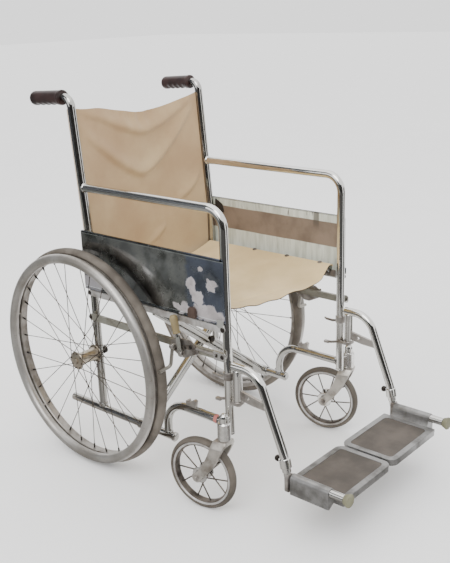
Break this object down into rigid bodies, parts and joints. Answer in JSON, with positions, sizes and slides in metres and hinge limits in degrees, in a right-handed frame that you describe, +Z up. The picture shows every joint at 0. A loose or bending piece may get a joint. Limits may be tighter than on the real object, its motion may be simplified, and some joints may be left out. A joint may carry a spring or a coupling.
{
  "type": "folding wheelchair",
  "caption": "Folding tube-frame wheelchair with sling seat and back, spoked rear wheels with push rims, swivel casters, brakes and swing-away footrests.",
  "frame": {"origin": "on the floor under the middle of the chair's length and width", "axes": "+Z up, the chair faces -Y, +X towards the sitter's left"},
  "size_m": [0.6538, 1.1174, 1.0046],
  "materials": {
    "chrome_tube": "bright plated tube, lightly worn",
    "chromed_sheet": "dull plated sheet, stained",
    "painted_bar": "khaki paint, worn",
    "cast_alloy": "satin, weathered",
    "plain_steel": "dull steel",
    "dark_steel": "dark, oxidised",
    "tyre_rubber": "worn grey-brown rubber",
    "grip_vinyl": "dark reddish-brown, slightly glossy",
    "olive_rubber": "faded olive",
    "pale_rubber": "aged cream",
    "canvas": "faded tan canvas"
  },
  "bodies": {
    "frame_right": {"right_back_post": "chrome_tube", "right_hand_grip": "grip_vinyl", "right_arm_tube": "chrome_tube", "right_seat_cradle": "chrome_tube", "right_upper_rail": "chrome_tube", "right_mid_rail": "painted_bar", "right_lower_rail": "chrome_tube", "right_gooseneck": "chrome_tube", "right_caster_barrel": "cast_alloy", "right_skirt_guard": "chromed_sheet", "right_axle": "dark_steel", "right_brake_bracket": "dark_steel", "back_sling": "canvas"},
    "frame_left": {"left_back_post": "chrome_tube", "left_hand_grip": "grip_vinyl", "left_arm_tube": "chrome_tube", "left_seat_cradle": "chrome_tube", "left_upper_rail": "chrome_tube", "left_mid_rail": "painted_bar", "left_lower_rail": "chrome_tube", "left_gooseneck": "chrome_tube", "left_caster_barrel": "cast_alloy", "left_skirt_guard": "chromed_sheet", "left_axle": "dark_steel", "left_brake_bracket": "dark_steel"},
    "brace_leg_b": {"brace_b": "chrome_tube", "pivot_bolt": "dark_steel"},
    "brace_leg_a": {"brace_a": "chrome_tube", "seat_sling": "canvas"},
    "right_wheel": {"right_tyre": "tyre_rubber", "right_rim": "cast_alloy", "right_handrim": "cast_alloy", "right_spoked_hub": "plain_steel"},
    "left_wheel": {"left_tyre": "tyre_rubber", "left_rim": "cast_alloy", "left_handrim": "cast_alloy", "left_spoked_hub": "plain_steel"},
    "right_caster_swivel": {"right_caster_fork": "cast_alloy"},
    "left_caster_swivel": {"left_caster_fork": "cast_alloy"},
    "right_caster": {"right_caster_wheel": "cast_alloy", "right_caster_tyre": "tyre_rubber"},
    "left_caster": {"left_caster_wheel": "cast_alloy", "left_caster_tyre": "tyre_rubber"},
    "right_brake_handle": {"right_brake_lever": "plain_steel", "right_brake_grip": "olive_rubber"},
    "left_brake_handle": {"left_brake_lever": "plain_steel", "left_brake_grip": "olive_rubber"},
    "right_brake_rod": {"right_brake_arm": "plain_steel"},
    "left_brake_rod": {"left_brake_arm": "plain_steel"},
    "right_leg_rest": {"right_leg_hanger": "chrome_tube", "right_extension": "chrome_tube", "right_end_cap": "pale_rubber"},
    "left_leg_rest": {"left_leg_hanger": "chrome_tube", "left_extension": "chrome_tube", "left_end_cap": "pale_rubber"},
    "right_plate": {"right_footplate": "cast_alloy"},
    "left_plate": {"left_footplate": "cast_alloy"},
    "right_latch": {"right_latch_lever": "plain_steel"},
    "left_latch": {"left_latch_lever": "plain_steel"}
  },
  "joints": [
    {"name": "fold", "type": "hinge", "parent": "frame_right", "child": "brace_leg_b", "pos_m": [-0.237, 0.08825, 0.131], "axis": [0, -1, 0], "range_deg": [0, 37], "deforming": ["seat_sling", "back_sling"]},
    {"name": "brace_cross", "type": "hinge", "parent": "brace_leg_b", "child": "brace_leg_a", "pos_m": [0, 0.0765, 0.3109], "axis": [0, 1, 0], "range_deg": [0, 74.5]},
    {"name": "left_foot_pivot", "type": "hinge", "parent": "brace_leg_a", "child": "frame_left", "pos_m": [0.237, 0.06475, 0.131], "axis": [0, -1, 0], "range_deg": [0, 37.5]},
    {"name": "right_wheel_spin", "type": "hinge", "parent": "frame_right", "child": "right_wheel", "pos_m": [-0.2845, 0.25625, 0.3025], "axis": [1, 0, 0], "continuous": true},
    {"name": "left_wheel_spin", "type": "hinge", "parent": "frame_left", "child": "left_wheel", "pos_m": [0.2845, 0.25625, 0.3025], "axis": [1, 0, 0], "continuous": true},
    {"name": "right_swivel", "type": "hinge", "parent": "frame_right", "child": "right_caster_swivel", "pos_m": [-0.269, -0.22375, 0.2045], "axis": [0, 0, 1], "continuous": true},
    {"name": "left_swivel", "type": "hinge", "parent": "frame_left", "child": "left_caster_swivel", "pos_m": [0.269, -0.22375, 0.2045], "axis": [0, 0, 1], "continuous": true},
    {"name": "right_caster_spin", "type": "hinge", "parent": "right_caster_swivel", "child": "right_caster", "pos_m": [-0.27888, -0.15748, 0.0955], "axis": [0.9891, 0.1475, 0], "continuous": true},
    {"name": "left_caster_spin", "type": "hinge", "parent": "left_caster_swivel", "child": "left_caster", "pos_m": [0.25184, -0.15898, 0.0955], "axis": [0.9666, 0.2561, 0], "continuous": true},
    {"name": "right_brake_pull", "type": "hinge", "parent": "frame_right", "child": "right_brake_handle", "pos_m": [-0.2665, -0.08875, 0.392], "axis": [1, 0, 0], "range_deg": [0, 50]},
    {"name": "left_brake_pull", "type": "hinge", "parent": "frame_left", "child": "left_brake_handle", "pos_m": [0.2665, -0.08875, 0.392], "axis": [1, 0, 0], "range_deg": [0, 50]},
    {"name": "right_brake_swing", "type": "hinge", "parent": "frame_right", "child": "right_brake_rod", "pos_m": [-0.2665, -0.06175, 0.405], "axis": [-1, 0, 0], "range_deg": [0, 20.5]},
    {"name": "left_brake_swing", "type": "hinge", "parent": "frame_left", "child": "left_brake_rod", "pos_m": [0.2665, -0.06175, 0.405], "axis": [-1, 0, 0], "range_deg": [0, 20.5]},
    {"name": "right_leg_swing", "type": "hinge", "parent": "frame_right", "child": "right_leg_rest", "pos_m": [-0.237, -0.24375, 0.385], "axis": [0, 0, -1], "range_deg": [0, 75]},
    {"name": "left_leg_swing", "type": "hinge", "parent": "frame_left", "child": "left_leg_rest", "pos_m": [0.237, -0.24375, 0.385], "axis": [0, 0, 1], "range_deg": [0, 75]},
    {"name": "right_plate_flip", "type": "hinge", "parent": "right_leg_rest", "child": "right_plate", "pos_m": [-0.2305, -0.39875, 0.144], "axis": [0, -1, 0], "range_deg": [0, 90]},
    {"name": "left_plate_flip", "type": "hinge", "parent": "left_leg_rest", "child": "left_plate", "pos_m": [0.2305, -0.39875, 0.144], "axis": [0, 1, 0], "range_deg": [0, 90]},
    {"name": "right_latch_turn", "type": "hinge", "parent": "right_leg_rest", "child": "right_latch", "pos_m": [-0.237, -0.24375, 0.2925], "axis": [0, 0, -1], "range_deg": [0, 20]},
    {"name": "left_latch_turn", "type": "hinge", "parent": "left_leg_rest", "child": "left_latch", "pos_m": [0.237, -0.24375, 0.2925], "axis": [0, 0, 1], "range_deg": [0, 20]}
  ],
  "couplings": [
    {"joint": "brace_cross", "follows": "fold", "ratio": 2},
    {"joint": "left_foot_pivot", "follows": "fold", "ratio": 1},
    {"joint": "right_leg_swing", "follows": "fold", "ratio": 2},
    {"joint": "left_leg_swing", "follows": "fold", "ratio": 2},
    {"joint": "right_brake_swing", "follows": "right_brake_pull", "ratio": 0.4},
    {"joint": "left_brake_swing", "follows": "left_brake_pull", "ratio": 0.4}
  ]
}
